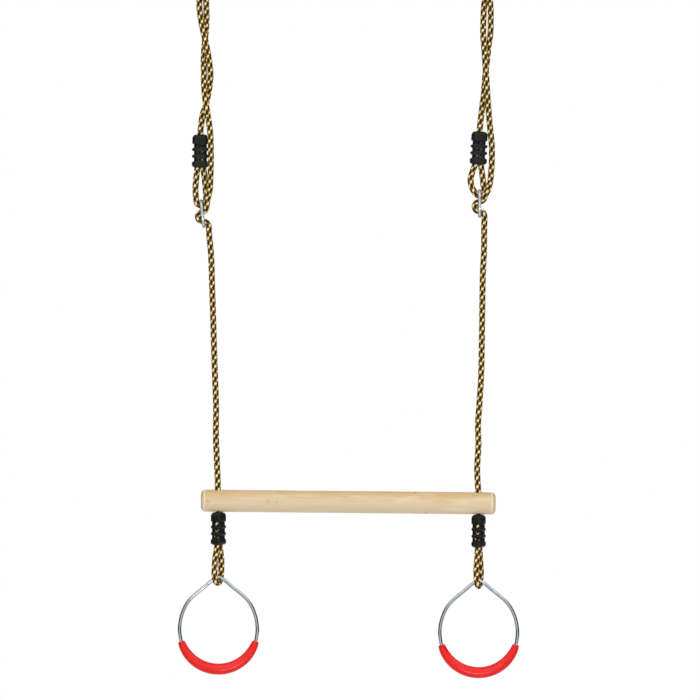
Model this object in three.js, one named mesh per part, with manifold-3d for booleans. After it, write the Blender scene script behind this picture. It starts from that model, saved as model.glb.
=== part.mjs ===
// Trapeze bar with a pair of gym rings, on two adjustable ropes.
// Millimetres, +Z up, +X to the right and -Y towards the viewer.
// The origin lies midway between the two points where the hanger rings bear on their hooks.

import * as THREE from 'three';
import { mergeVertices } from 'three/addons/utils/BufferGeometryUtils.js';
import Module from 'manifold-3d';

const wasm = await Module();
wasm.setup();

// Shared clearances and the overrun of every cut
const GAP = 0.3;
const OVERRUN = 2;

// Ropes
const ROPE_DIAMETER = 10;
const ROPE_SIDES = 8;
const BORE_SIDES = 12;
const TWIST_STEP = THREE.MathUtils.degToRad(46);

// Hanger rings at the top
const HANGER_SPREAD = 484;
const HANGER_INNER = 38;
const HANGER_WIRE = 6;

// Wooden bar
const BAR_LENGTH = 500;
const BAR_DIAMETER = 37.5;
const BAR_EDGE_RADIUS = 7.5;
const BAR_HOLE_INSET = 28.5;
const BAR_HOLE_SPREAD = BAR_LENGTH - 2 * BAR_HOLE_INSET;
const BAR_HOLE_DIAMETER = 13;
const BAR_OFFSET = 5.5;
const BAR_DROP = 944.4;
const BAR_SLOPE = THREE.MathUtils.degToRad(0.55);

// Moulded clamps
const CLAMP_HEIGHT = 56;
const CLAMP_CORNER = 6;
const CAP_HEIGHT = 16;
const CAP_WIDTH = 27;
const CAP_DEPTH = 20.6;
const DOME_HEIGHT = 7;
const DOME_INSET = 5.5;
const NECK_WIDTH = 21.6;
const NECK_DEPTH = 18.8;
const RIB_WIDTH = 28.6;
const RIB_DEPTH = 20.4;
const RIB_THICKNESS = 6.2;
const RIB_FACE_THICKNESS = 3.5;
const RIB_PITCH = 11.5;
const RIB_COUNT = 2;
const FIRST_RIB_DEPTH = 25.3;
const FOOT_INSET = 5;
const BORE_SPREAD = 10.4;
const BLIND_DEPTH = 16.8;
const CROSSOVER_START = 2;
const CROSSOVER_END = 16;
const WINDOW_WIDTH = 3;
const WINDOW_HEIGHT = 4.5;
const WINDOW_SPREAD = 5.6;

// Adjusters, each a wire bent to an 8
const ADJUSTER_WIRE = 5.5;
const ADJUSTER_UPPER_HEIGHT = 27.5;
const ADJUSTER_UPPER_WIDTH = 22.5;
const ADJUSTER_LOWER_SIZE = 16.5;

// Gym rings
const RING_RADIUS = 66;
const RING_SHOULDER_DROP = 90;
const RING_WIRE = 6;
const GRIP_THICKNESS = 19;
const GRIP_END_THICKNESS = 9.9;
const GRIP_START = THREE.MathUtils.degToRad(16.5);

// Where each side's pieces hang: the turn is about the upright, the lean tips the foot to the left.
// A lower clamp, the foot, is shifted across from its hole in the bar, and a gym ring from its
// clamp, under which it hangs by the drop.
const SIDES = {
  left: {
    clampX: -245.5,
    clampTop: -320.5,
    clampTurn: THREE.MathUtils.degToRad(6),
    clampLean: 0,
    adjusterX: -244.2,
    adjusterTop: -432.9,
    adjusterLean: THREE.MathUtils.degToRad(-5.5),
    footShift: 1.1,
    footTurn: THREE.MathUtils.degToRad(68),
    ringShift: 0,
    ringDrop: 54.8,
  },
  right: {
    clampX: 228.7,
    clampTop: -315.3,
    clampTurn: THREE.MathUtils.degToRad(6),
    clampLean: THREE.MathUtils.degToRad(2.8),
    adjusterX: 228.4,
    adjusterTop: -415.5,
    adjusterLean: 0,
    footShift: -0.1,
    footTurn: THREE.MathUtils.degToRad(72),
    ringShift: 0.1,
    ringDrop: 56.5,
  },
};

// Rope routes, chosen by hand as x, y, z.
// The twisted pairs are stations instead: the pair's x and z, the turn of the sliding strand
// about the pair in degrees, and half the distance between the two strands.
// The bar rope and the lower loop run from the middle of the lower clamp's top, and the threaded
// rope from the adjuster's top wire: down beside the eye loop, under it, round the waist and out
// over the bottom wire.
const ROUTES = {
  left: {
    twist: [
      [-242, -62.1, -450, 8.2],
      [-242, -67, -450, 8.1],
      [-241.3, -105.6, -360, 5.7],
      [-237.7, -157.4, -270, 5.6],
      [-233.8, -217.7, -180, 5.6],
      [-236, -269.4, -90, 5.6],
      [-237.6, -287.3, -40, 5.9],
    ],
    bight: [
      [-242, -8.2, -61.7],
      [-242, -8.5, -50],
      [-242, -8.6, -41],
      [-242, -6.1, -34.9],
      [-242, 0, -32.4],
      [-242, 6.1, -34.9],
      [-242, 8.6, -41],
      [-242, 8.5, -50],
      [-242, 8.2, -61.7],
    ],
    standing: [
      [-244, 2.4, -303],
      [-245.4, 0.3, -315],
      [-245.5, 0, -320],
    ],
    sliding: [
      [-230.2, -9.5, -304],
      [-228.2, -13.8, -322],
      [-227.4, -14.4, -350],
      [-227.6, -13.6, -378],
      [-228.4, -11.4, -400],
      [-228.8, -9.8, -411],
      [-230.7, -9.6, -420.6],
    ],
    threaded: [
      [14.5, -9.6, 10.6],
      [12.9, -9.6, 5.4],
      [11.2, -10, 0.5],
      [9.8, -10, -4.4],
      [8.6, -9.4, -9],
      [7.6, -6.6, -13.8],
      [4.2, -3.4, -17.6],
      [0, -0.3, -19.3],
      [-5.8, 0, -21.7],
      [-8.2, 0, -27.5],
      [-5.8, 0, -33.3],
      [0, 0, -35.7],
      [6, 0, -38],
      [8.5, 0, -44],
      [8.1, 0, -57],
    ],
    eye: [
      [-245.5, 0, -320.5],
      [-245.5, 0, -322.5],
      [-248.1, -0.27, -329.5],
      [-250.67, -0.54, -336.5],
      [-250.67, -0.54, -376.5],
      [-252.3, -0.3, -392],
      [-253.9, 0, -411],
      [-253.4, 0, -424],
      [-252, 0, -435],
      [-249.8, 0, -438.8],
      [-244.2, 0, -441.2],
      [-238.4, 0, -438.8],
      [-236, 0, -432.9],
      [-236, 0.1, -424],
      [-236.6, 0.2, -412],
      [-238.4, 0.4, -394],
      [-240.33, 0.54, -376.5],
      [-240.33, 0.54, -337.8],
    ],
    main: [
      [-230.7, 0, -489.3],
      [-227.4, 0, -525],
      [-225.5, 0, -581],
      [-223, 0, -660],
      [-221, 0, -724],
      [-218.8, 0, -784],
      [-219.2, 0, -831],
      [-217.4, 0, -876],
      [-216.2, 0, -905],
      [-215.9, 0, -924],
    ],
    bar: [
      [-1, 0, 36.9],
      [-0.6, 0, 15.8],
      [0, 0, 0],
      [0, 0, -2],
      [-0.97, -2.41, -9],
      [-1.95, -4.82, -16],
      [-1.95, -4.82, -24.2],
    ],
    loop: [
      [-1.95, -4.82, -24.6],
      [-1.95, -4.82, -56],
      [-5.8, -7.6, -79],
      [-6.9, -10.2, -96.8],
      [-7.2, -10.7, -106.6],
      [-5.4, -8.5, -115.5],
      [-3, -4.5, -119.4],
      [-0.9, 0, -120.2],
      [1.2, 4.5, -119.2],
      [3.2, 8.5, -115.5],
      [4.9, 10.7, -106.6],
      [5.5, 10.2, -96.8],
      [5.3, 7.6, -79],
      [1.95, 4.82, -56],
      [1.95, 4.82, -17.3],
    ],
  },
  right: {
    twist: [
      [242, -62.1, -270, 8.2],
      [242, -67, -270, 8.1],
      [241.6, -92, -228, 6.4],
      [241.5, -114.1, -192, 6.2],
      [241, -144.6, -178, 6.3],
      [239.9, -170.1, -132, 5.8],
      [239.1, -212.6, -90, 5.6],
      [238.7, -253.3, -58, 5.6],
      [238.2, -272, -32, 5.8],
      [237.8, -294.1, -12, 7.3],
    ],
    bight: [
      [242, 8.2, -61.7],
      [242, 8.5, -50],
      [242, 8.6, -41],
      [242, 6.1, -34.9],
      [242, 0, -32.4],
      [242, -6.1, -34.9],
      [242, -8.6, -41],
      [242, -8.5, -50],
      [242, -8.2, -61.7],
    ],
    standing: [
      [228.9, 0.3, -310],
      [228.7, 0, -314.8],
    ],
    sliding: [
      [246.9, 0, -315],
      [249.3, 0, -338],
      [249, 0, -374],
      [247.6, -1, -389],
      [247, -2.8, -399.1],
      [245.5, -4.8, -404.9],
    ],
    threaded: [
      [17, -4.9, 10.2],
      [15.4, -6.9, 4.5],
      [12.4, -9.2, -3],
      [8.9, -9.1, -9.4],
      [7.6, -6.6, -13.8],
      [4.2, -3.4, -17.6],
      [0, -0.3, -19.3],
      [-5.8, 0, -21.7],
      [-8.2, 0, -27.5],
      [-5.8, 0, -33.3],
      [0, 0, -35.7],
      [6, 0, -38],
      [8.5, 0, -44],
      [8.1, 0, -57],
    ],
    eye: [
      [228.7, 0, -315.3],
      [228.6, 0, -317.3],
      [225.7, -0.27, -324.3],
      [222.75, -0.54, -331.3],
      [220.9, -0.54, -370.8],
      [216.9, -0.3, -382],
      [213.3, 0, -396],
      [214.7, 0, -407],
      [219.2, 0, -417],
      [223.9, 0, -422.7],
      [228.4, 0, -423.8],
      [234.2, 0, -421.4],
      [236.6, 0, -415.5],
      [235, 0.1, -405],
      [233.6, 0.3, -392],
      [231.2, 0.54, -371.3],
      [233, 0.54, -332.8],
    ],
    main: [
      [236.5, 0, -472.9],
      [236, 0, -519.9],
      [234.3, 0, -550.5],
      [232.8, 0, -642],
      [231, 0, -734],
      [228.4, 0, -775],
      [225.9, 0, -815],
      [226.6, 0, -846],
      [224.4, 0, -886.7],
      [225.4, 0, -912],
      [226.4, 0, -926.9],
    ],
    bar: [
      [-0.4, 0, 38.2],
      [-0.1, 0, 15.8],
      [0, 0, -0.1],
      [0, 0, -2.1],
      [-0.8, -2.47, -9.1],
      [-1.61, -4.95, -16.1],
      [-1.61, -4.95, -24.3],
    ],
    loop: [
      [-1.61, -4.95, -24.7],
      [-1.61, -4.95, -56.1],
      [-2.8, -7, -79.6],
      [-4, -8.4, -95.8],
      [-3.4, -9, -109],
      [-1.9, -6.6, -118.8],
      [0.1, 0, -121.5],
      [2, 6.6, -118.8],
      [3.4, 9, -109],
      [4, 8.4, -95.8],
      [2.8, 7, -79.6],
      [1.61, 4.95, -56.1],
      [1.61, 4.95, -17.3],
    ],
  },
};

// Half the teardrop of a gym ring's wire, as shares of its radius and of its shoulders' drop
const RING_SHOULDER_SHARES = [
  [0, 0],
  [0.035, 0.0035],
  [0.07, 0.0155],
  [0.19, 0.075],
  [0.3, 0.147],
  [0.5, 0.265],
  [0.68, 0.378],
  [0.806, 0.49],
  [0.889, 0.603],
  [0.944, 0.717],
  [0.985, 0.85],
];

// Heights across a clamp's rib, as shares of half its thickness
const RIB_SHARES = [-1, -0.85, -0.5, 0, 0.5, 0.85, 1];

const WOOD = new THREE.MeshStandardMaterial({ color: 0xe2c698, roughness: 0.55, metalness: 0 });
const ROPE = new THREE.MeshStandardMaterial({ color: 0xb59a5e, roughness: 0.85, metalness: 0 });
const BLACK_PLASTIC = new THREE.MeshStandardMaterial({ color: 0x1b1b1d, roughness: 0.5, metalness: 0 });
const RED_PLASTIC = new THREE.MeshStandardMaterial({ color: 0xd0121b, roughness: 0.2, metalness: 0 });
const STEEL = new THREE.MeshStandardMaterial({ color: 0xc4c9ce, roughness: 0.25, metalness: 1 });
const GALVANISED = new THREE.MeshStandardMaterial({ color: 0xb4b9bd, roughness: 0.45, metalness: 0.9 });

const trapeze = new THREE.Group();

function addPiece(name, geometry, material) {
  const mesh = new THREE.Mesh(geometry, material);
  mesh.name = name;
  trapeze.add(mesh);
  return mesh;
}

// Solid made of a row of rings with as many points each: open rows get a flat cap at both ends
function skin(rings, closed) {
  const sides = rings[0].length;
  const positions = [];
  for (const ring of rings) {
    for (const point of ring) positions.push(point.x, point.y, point.z);
  }
  const faces = [];
  const rows = closed ? rings.length : rings.length - 1;
  for (let row = 0; row < rows; row += 1) {
    const next = (row + 1) % rings.length;
    for (let side = 0; side < sides; side += 1) {
      const other = (side + 1) % sides;
      const corners = [row * sides + side, row * sides + other, next * sides + other, next * sides + side];
      faces.push(corners[0], corners[1], corners[2], corners[0], corners[2], corners[3]);
    }
  }
  if (!closed) {
    const last = (rings.length - 1) * sides;
    for (let side = 1; side < sides - 1; side += 1) {
      faces.push(0, side + 1, side);
      faces.push(last, last + side, last + side + 1);
    }
  }
  const geometry = new THREE.BufferGeometry();
  geometry.setAttribute('position', new THREE.Float32BufferAttribute(positions, 3));
  geometry.setIndex(faces);
  return geometry;
}

function toSolid(geometry) {
  const bare = geometry.clone();
  bare.deleteAttribute('normal');
  bare.deleteAttribute('uv');
  const merged = mergeVertices(bare);
  const mesh = new wasm.Mesh({
    numProp: 3,
    vertProperties: new Float32Array(merged.attributes.position.array),
    triVerts: new Uint32Array(merged.index.array),
  });
  return new wasm.Manifold(mesh);
}

function toGeometry(solid) {
  const mesh = solid.getMesh();
  const geometry = new THREE.BufferGeometry();
  geometry.setAttribute('position', new THREE.BufferAttribute(mesh.vertProperties, 3));
  geometry.setIndex(new THREE.BufferAttribute(mesh.triVerts, 1));
  return geometry;
}

// A curve that takes equal steps between its points, so points set close give a fine bend
class Route extends THREE.CatmullRomCurve3 {
  getPointAt(share, target) {
    return this.getPoint(share, target);
  }

  getTangentAt(share, target) {
    return this.getTangent(share, target);
  }
}

function circleShape(radius, sides) {
  const corners = [];
  for (let side = 0; side < sides; side += 1) {
    const angle = (2 * Math.PI * side) / sides;
    corners.push(new THREE.Vector2(radius * Math.cos(angle), radius * Math.sin(angle)));
  }
  return new THREE.Shape(corners);
}

function tube(points, radius, sides) {
  const extrudePath = new Route(points);
  const steps = points.length - 1;
  return new THREE.ExtrudeGeometry(circleShape(radius, sides), { steps, bevelEnabled: false, extrudePath });
}

function toPoints(list) {
  return list.map(([x, y, z]) => new THREE.Vector3(x, y, z));
}

// One strand of a twisted pair: the station turn gives the sliding strand, half a turn on its fellow
function twistedStrand(stations, phase) {
  const points = [];
  for (let index = 0; index < stations.length; index += 1) {
    const [x, z, turn, half] = stations[index];
    const [nextX, nextZ, nextTurn, nextHalf] = stations[index + 1] ?? stations[index];
    const sweep = THREE.MathUtils.degToRad(nextTurn - turn);
    const parts = Math.max(1, Math.ceil(sweep / TWIST_STEP));
    for (let part = 0; part < parts; part += 1) {
      const share = part / parts;
      const angle = THREE.MathUtils.degToRad(turn) + sweep * share + phase;
      const reach = THREE.MathUtils.lerp(half, nextHalf, share);
      points.push(new THREE.Vector3(
        THREE.MathUtils.lerp(x, nextX, share) + reach * Math.cos(angle),
        reach * Math.sin(angle),
        THREE.MathUtils.lerp(z, nextZ, share),
      ));
    }
  }
  return points;
}

function addRope(name, points, x = 0, top = 0) {
  const rope = addPiece(name, tube(points, ROPE_DIAMETER / 2, ROPE_SIDES), ROPE);
  rope.position.set(x, 0, top);
  return rope;
}

// Hanger ring: a torus upright across the view, its bearing point at the height of the origin
function addHangerRing(name, x) {
  const reach = (HANGER_INNER + HANGER_WIRE) / 2;
  const ring = addPiece(name, new THREE.TorusGeometry(reach, HANGER_WIRE / 2, 8, 28), GALVANISED);
  ring.position.set(x, 0, -HANGER_INNER / 2);
  ring.rotation.x = Math.PI / 2;
}

// Bar: turned rod with rounded edges and two upright rope holes
function barGeometry() {
  const radius = BAR_DIAMETER / 2;
  const half = BAR_LENGTH / 2;
  const profile = new THREE.Path();
  profile.moveTo(0, -half);
  profile.lineTo(radius - BAR_EDGE_RADIUS, -half);
  profile.absarc(radius - BAR_EDGE_RADIUS, BAR_EDGE_RADIUS - half, BAR_EDGE_RADIUS, -Math.PI / 2, 0);
  profile.absarc(radius - BAR_EDGE_RADIUS, half - BAR_EDGE_RADIUS, BAR_EDGE_RADIUS, 0, Math.PI / 2);
  profile.lineTo(0, half);
  const rod = new THREE.LatheGeometry(profile.getPoints(2), 28).rotateZ(-Math.PI / 2);
  const hole = new THREE.CylinderGeometry(
    BAR_HOLE_DIAMETER / 2, BAR_HOLE_DIAMETER / 2, BAR_DIAMETER + 2 * OVERRUN, 16,
  ).rotateX(Math.PI / 2);
  const leftHole = toSolid(hole.clone().translate(-BAR_HOLE_SPREAD / 2, 0, 0));
  const rightHole = toSolid(hole.clone().translate(BAR_HOLE_SPREAD / 2, 0, 0));
  return toGeometry(toSolid(rod).subtract(leftHole).subtract(rightHole));
}

function addBar() {
  const bar = addPiece('bar', barGeometry(), WOOD);
  bar.position.set(BAR_OFFSET, 0, -BAR_DROP);
  bar.rotation.y = BAR_SLOPE;
}

// Height of the bar's underside at a place across the view
function barUnderside(x) {
  return -BAR_DROP - (x - BAR_OFFSET) * Math.tan(BAR_SLOPE) - BAR_DIAMETER / 2 / Math.cos(BAR_SLOPE);
}

// Ring of a rounded rectangle at a depth below the clamp's top
function clampRing(depth, width, across, inset) {
  const x = width / 2 - inset;
  const y = across / 2 - inset;
  const corner = Math.min(CLAMP_CORNER, x, y);
  const ring = [];
  for (let quarter = 0; quarter < 4; quarter += 1) {
    const signX = quarter === 0 || quarter === 3 ? 1 : -1;
    const signY = quarter < 2 ? 1 : -1;
    for (let step = 0; step <= 2; step += 1) {
      const angle = (quarter + step / 2) * (Math.PI / 2);
      ring.push(new THREE.Vector3(
        signX * (x - corner) + corner * Math.cos(angle),
        signY * (y - corner) + corner * Math.sin(angle),
        -depth,
      ));
    }
  }
  return ring;
}

function clampRings() {
  const rings = [];
  for (let step = 1; step <= 3; step += 1) {
    const angle = (step / 3) * (Math.PI / 2);
    const depth = DOME_HEIGHT * (1 - Math.cos(angle));
    rings.push(clampRing(depth, CAP_WIDTH, CAP_DEPTH, DOME_INSET * (1 - Math.sin(angle))));
  }
  rings.unshift(clampRing(0, CAP_WIDTH, CAP_DEPTH, DOME_INSET));
  rings.push(clampRing(CAP_HEIGHT, CAP_WIDTH, CAP_DEPTH, 0));
  rings.push(clampRing(CAP_HEIGHT, NECK_WIDTH, NECK_DEPTH, 0));
  const nose = RIB_THICKNESS / 2;
  const flange = FIRST_RIB_DEPTH + RIB_COUNT * RIB_PITCH;
  const bulge = (offset, thickness) => Math.sqrt(Math.max(0, 1 - (2 * offset / thickness) ** 2));
  for (let rib = 0; rib <= RIB_COUNT; rib += 1) {
    for (const share of RIB_SHARES) {
      if (rib === RIB_COUNT && share > 0) break;
      const offset = share * nose;
      const width = NECK_WIDTH + (RIB_WIDTH - NECK_WIDTH) * bulge(offset, RIB_THICKNESS);
      const across = NECK_DEPTH + (RIB_DEPTH - NECK_DEPTH) * bulge(offset, RIB_FACE_THICKNESS);
      rings.push(clampRing(FIRST_RIB_DEPTH + rib * RIB_PITCH + offset, width, across, 0));
    }
  }
  for (let step = 0; step <= 3; step += 1) {
    const angle = (step / 3) * (Math.PI / 2);
    const depth = flange + nose + (CLAMP_HEIGHT - flange - nose) * Math.sin(angle);
    rings.push(clampRing(depth, RIB_WIDTH, RIB_DEPTH, FOOT_INSET * (1 - Math.cos(angle))));
  }
  return rings.reverse();
}

// Windows: two in each neck on all four faces, cut in as far as the rope
function clampWindows() {
  const cutLength = RIB_WIDTH / 2;
  const nose = RIB_THICKNESS / 2;
  const cuts = [];
  for (let neck = 0; neck <= RIB_COUNT; neck += 1) {
    const ribBelow = FIRST_RIB_DEPTH + neck * RIB_PITCH;
    const neckTop = neck === 0 ? CAP_HEIGHT : ribBelow - RIB_PITCH + nose;
    const depth = (neckTop + ribBelow - nose) / 2;
    for (const side of [-1, 1]) {
      const sideways = (side * WINDOW_SPREAD) / 2;
      for (const face of [-1, 1]) {
        const outwards = face * (cutLength / 2 + BORE_SPREAD / 4);
        const front = new THREE.BoxGeometry(WINDOW_WIDTH, cutLength, WINDOW_HEIGHT);
        cuts.push(toSolid(front.translate(sideways, outwards, -depth)));
        const flank = new THREE.BoxGeometry(cutLength, WINDOW_WIDTH, WINDOW_HEIGHT);
        cuts.push(toSolid(flank.translate(outwards + (face * BORE_SPREAD) / 4, sideways, -depth)));
      }
    }
  }
  return cuts;
}

// Clamp with its top at the origin: one bore crosses over in the cap, its twin is blind
function clampGeometry() {
  const bore = BORE_SPREAD / 2;
  const middle = (CROSSOVER_START + CROSSOVER_END) / 2;
  const through = toPoints([
    [0, 0, OVERRUN],
    [0, 0, -CROSSOVER_START],
    [-bore / 2, 0, -middle],
    [-bore, 0, -CROSSOVER_END],
    [-bore, 0, -CLAMP_HEIGHT - OVERRUN],
  ]);
  const blind = toPoints([
    [bore, 0, -BLIND_DEPTH],
    [bore, 0, -CLAMP_HEIGHT - OVERRUN],
  ]);
  const boreRadius = (ROPE_DIAMETER / 2 + GAP) / Math.cos(Math.PI / BORE_SIDES);
  let clamp = toSolid(skin(clampRings(), false));
  clamp = clamp.subtract(toSolid(tube(through, boreRadius, BORE_SIDES)));
  clamp = clamp.subtract(toSolid(tube(blind, boreRadius, BORE_SIDES)));
  for (const cut of clampWindows()) clamp = clamp.subtract(cut);
  return toGeometry(clamp);
}

function addClamp(name, x, top, turn, lean) {
  const clamp = addPiece(name, clampGeometry(), BLACK_PLASTIC);
  clamp.position.set(x, 0, top);
  clamp.rotation.set(0, lean, turn, 'YZX');
}

// Round wire along a closed loop that lies in one plane
function wireLoop(centres, normal, wire, sides) {
  const rings = centres.map((centre, index) => {
    const before = centres[(index + centres.length - 1) % centres.length];
    const after = centres[(index + 1) % centres.length];
    const outwards = normal.clone().cross(after.clone().sub(before).normalize());
    const ring = [];
    for (let side = 0; side < sides; side += 1) {
      const angle = (2 * Math.PI * side) / sides;
      ring.push(centre.clone()
        .addScaledVector(outwards, (wire / 2) * Math.cos(angle))
        .addScaledVector(normal, (wire / 2) * Math.sin(angle)));
    }
    return ring;
  });
  return skin(rings, true);
}

// Adjuster with its top wire's centre at the origin, seen edge on from the front
function adjusterGeometry() {
  const normal = new THREE.Vector3(1, 0, 0);
  const lobe = (width, height, top, steps) => {
    const centres = [];
    for (let step = 0; step < steps; step += 1) {
      const angle = (2 * Math.PI * step) / steps;
      const y = (width / 2) * Math.sin(angle);
      centres.push(new THREE.Vector3(0, y, top - (height / 2) * (1 - Math.cos(angle))));
    }
    return wireLoop(centres, normal, ADJUSTER_WIRE, 8);
  };
  const upper = lobe(ADJUSTER_UPPER_WIDTH, ADJUSTER_UPPER_HEIGHT, 0, 24);
  const lower = lobe(ADJUSTER_LOWER_SIZE, ADJUSTER_LOWER_SIZE, -ADJUSTER_UPPER_HEIGHT, 20);
  return toGeometry(toSolid(upper).add(toSolid(lower)));
}

// Even turns about the ring's centre, from one end of the grip to the other
function gripAngles() {
  const steps = 16;
  const sweep = Math.PI - 2 * GRIP_START;
  return Array.from({ length: steps + 1 }, (_, step) => GRIP_START + (sweep * step) / steps);
}

// Gym ring wire with its apex at the origin: two shoulders over a half circle
function ringWireGeometry() {
  const right = RING_SHOULDER_SHARES.map(([across, down]) => (
    new THREE.Vector3(across * RING_RADIUS, 0, -down * RING_SHOULDER_DROP)));
  const halfCircle = [0, ...gripAngles(), Math.PI].map((angle) => (
    new THREE.Vector3(Math.cos(angle), 0, -Math.sin(angle)).multiplyScalar(RING_RADIUS)));
  const bottom = halfCircle.map((point) => point.setZ(point.z - RING_SHOULDER_DROP));
  const left = right.slice(1).reverse().map((point) => new THREE.Vector3(-point.x, 0, point.z));
  return wireLoop([...right, ...bottom, ...left], new THREE.Vector3(0, 1, 0), RING_WIRE, 8);
}

// Grip: a sleeve on the half circle, swelling quickly from its ends to its full thickness
function ringGripGeometry() {
  const sides = 10;
  const angles = gripAngles();
  const start = angles[0];
  const sweep = angles.at(-1) - start;
  const section = (angle, radius) => {
    const outwards = new THREE.Vector3(Math.cos(angle), 0, -Math.sin(angle));
    const centre = new THREE.Vector3(0, 0, -RING_SHOULDER_DROP).addScaledVector(outwards, RING_RADIUS);
    const ring = [];
    for (let side = 0; side < sides; side += 1) {
      const round = (2 * Math.PI * side) / sides;
      const point = centre.clone().addScaledVector(outwards, radius * Math.cos(round));
      ring.push(point.setY(radius * Math.sin(round)));
    }
    return ring;
  };
  const bore = (RING_WIRE / 2 + GAP) / Math.cos(Math.PI / sides);
  const inner = angles.map((angle) => section(angle, bore));
  const outer = angles.map((angle) => {
    const crowded = (1 - Math.cos((Math.PI * (angle - start)) / sweep)) / 2;
    const swell = Math.sqrt(Math.max(0, Math.sin(Math.PI * crowded)));
    const thickness = GRIP_END_THICKNESS + (GRIP_THICKNESS - GRIP_END_THICKNESS) * swell;
    return section(start + sweep * crowded, thickness / 2);
  });
  return skin([...inner, ...outer.reverse()], true);
}

function addGymRing(side, x, top) {
  const wire = addPiece(`${side}_ring_wire`, ringWireGeometry(), STEEL);
  const grip = addPiece(`${side}_ring_grip`, ringGripGeometry(), RED_PLASTIC);
  wire.position.set(x, 0, top);
  grip.position.set(x, 0, top);
}

// Everything that hangs on one side, from the hanger ring down to the gym ring
function addSide(side, sign) {
  const place = SIDES[side];
  const routes = ROUTES[side];
  const footX = BAR_OFFSET + (sign * BAR_HOLE_SPREAD) / 2 + place.footShift;
  addHangerRing(`${side}_hanger_ring`, (sign * HANGER_SPREAD) / 2);
  addClamp(`${side}_upper_clamp`, place.clampX, place.clampTop, place.clampTurn, place.clampLean);
  const footTop = barUnderside(footX) - GAP;
  addClamp(`${side}_lower_clamp`, footX, footTop, place.footTurn, 0);
  const adjuster = addPiece(`${side}_adjuster`, adjusterGeometry(), GALVANISED);
  addGymRing(side, footX + place.ringShift, footTop - CLAMP_HEIGHT - place.ringDrop);

  const sliding = [...twistedStrand(routes.twist, 0), ...toPoints(routes.sliding)];
  const standing = [...twistedStrand(routes.twist, Math.PI), ...toPoints(routes.standing)];
  addRope(`${side}_top_bight`, toPoints(routes.bight));
  addRope(`${side}_standing_strand`, standing);
  addRope(`${side}_sliding_strand`, sliding);
  addRope(`${side}_eye_loop`, toPoints(routes.eye));
  const threaded = addRope(`${side}_threaded_rope`, toPoints(routes.threaded));
  addRope(`${side}_main_rope`, toPoints(routes.main));
  addRope(`${side}_bar_rope`, toPoints(routes.bar), footX, footTop);
  addRope(`${side}_lower_loop`, toPoints(routes.loop), footX, footTop);
  for (const mesh of [adjuster, threaded]) {
    mesh.position.set(place.adjusterX, 0, place.adjusterTop);
    mesh.rotation.y = place.adjusterLean;
  }
}

addBar();
addSide('left', -1);
addSide('right', 1);

export default trapeze;
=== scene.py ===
import math

import bpy
import numpy as np
from mathutils import Matrix, Vector


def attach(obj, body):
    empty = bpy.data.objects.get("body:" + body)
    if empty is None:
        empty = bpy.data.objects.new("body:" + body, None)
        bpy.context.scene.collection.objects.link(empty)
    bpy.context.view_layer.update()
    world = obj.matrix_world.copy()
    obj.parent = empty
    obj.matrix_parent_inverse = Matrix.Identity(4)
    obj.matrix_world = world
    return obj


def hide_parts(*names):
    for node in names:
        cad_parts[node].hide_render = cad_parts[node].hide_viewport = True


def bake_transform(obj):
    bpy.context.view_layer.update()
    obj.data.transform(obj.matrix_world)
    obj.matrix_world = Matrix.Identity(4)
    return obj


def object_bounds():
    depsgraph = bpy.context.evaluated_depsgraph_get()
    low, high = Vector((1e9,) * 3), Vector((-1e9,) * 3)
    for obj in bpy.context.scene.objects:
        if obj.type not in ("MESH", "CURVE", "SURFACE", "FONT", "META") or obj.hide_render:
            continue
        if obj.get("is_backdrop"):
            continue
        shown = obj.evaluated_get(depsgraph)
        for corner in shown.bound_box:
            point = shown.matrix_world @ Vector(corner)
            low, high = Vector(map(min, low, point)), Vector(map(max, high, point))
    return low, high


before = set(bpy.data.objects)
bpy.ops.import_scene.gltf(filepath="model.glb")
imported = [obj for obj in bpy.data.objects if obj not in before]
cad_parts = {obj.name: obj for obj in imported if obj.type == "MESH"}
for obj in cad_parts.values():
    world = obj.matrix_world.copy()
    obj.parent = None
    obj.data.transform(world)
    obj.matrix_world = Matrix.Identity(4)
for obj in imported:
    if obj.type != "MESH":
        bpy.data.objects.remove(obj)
cad_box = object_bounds()
scene = bpy.context.scene
MM = 0.001


# The place it is shown in: seen level from far off, against white, over a pale floor.
# Soft light comes from a bright wall in front, less from above and behind, and from panels in
# front and high at each side. The rest of the room is dark, which gives the metal its edges.
VIEW_CENTRE = (0.0085, -0.6863)
VIEW_WIDTH = 1.1886
VIEW_DISTANCE = 10.0
VIEW_END = 100.0
SENSOR = 36.0
WHITE = (1.0, 1.0, 1.0, 1.0)
FLOOR_HEIGHT = -2.6
FLOOR_HALF = 10.0
FLOOR_COLOUR = (0.94, 0.94, 0.93, 1.0)
FLOOR_ROUGHNESS = 0.9

# How bright the room is, and where each glow starts and where it is full, as the cosine of the
# angle from its middle. The wall in front dims by a share towards its foot.
ROOM_DARK = 0.06
ROOM_FRONT = 1.22
ROOM_BEHIND = 0.9
ROOM_ABOVE = 0.60
FRONT_SPREAD = (0.78, 0.97)
BEHIND_SPREAD = (0.85, 0.99)
ABOVE_SPREAD = (0.2, 0.95)
WALL_FOOT = (-0.9, -0.1)
WALL_DIMMING = 0.2
SLIVER = 0.001

# Each panel's place, width, power in watts and colour
PANELS = {
    "high_panel": ((-0.9, -2.8, 1.0), 1.2, 5.0, (1.0, 0.98, 0.95)),
    "low_panel": ((0.2, -2.4, -2.15), 0.6, 13.0, (1.0, 0.99, 0.97)),
    "left_panel": ((-2.2, -1.2, 1.4), 1.5, 15.0, (0.97, 0.98, 1.0)),
    "right_panel": ((2.2, -1.2, 1.4), 1.5, 20.0, (1.0, 0.99, 0.97)),
}


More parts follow.
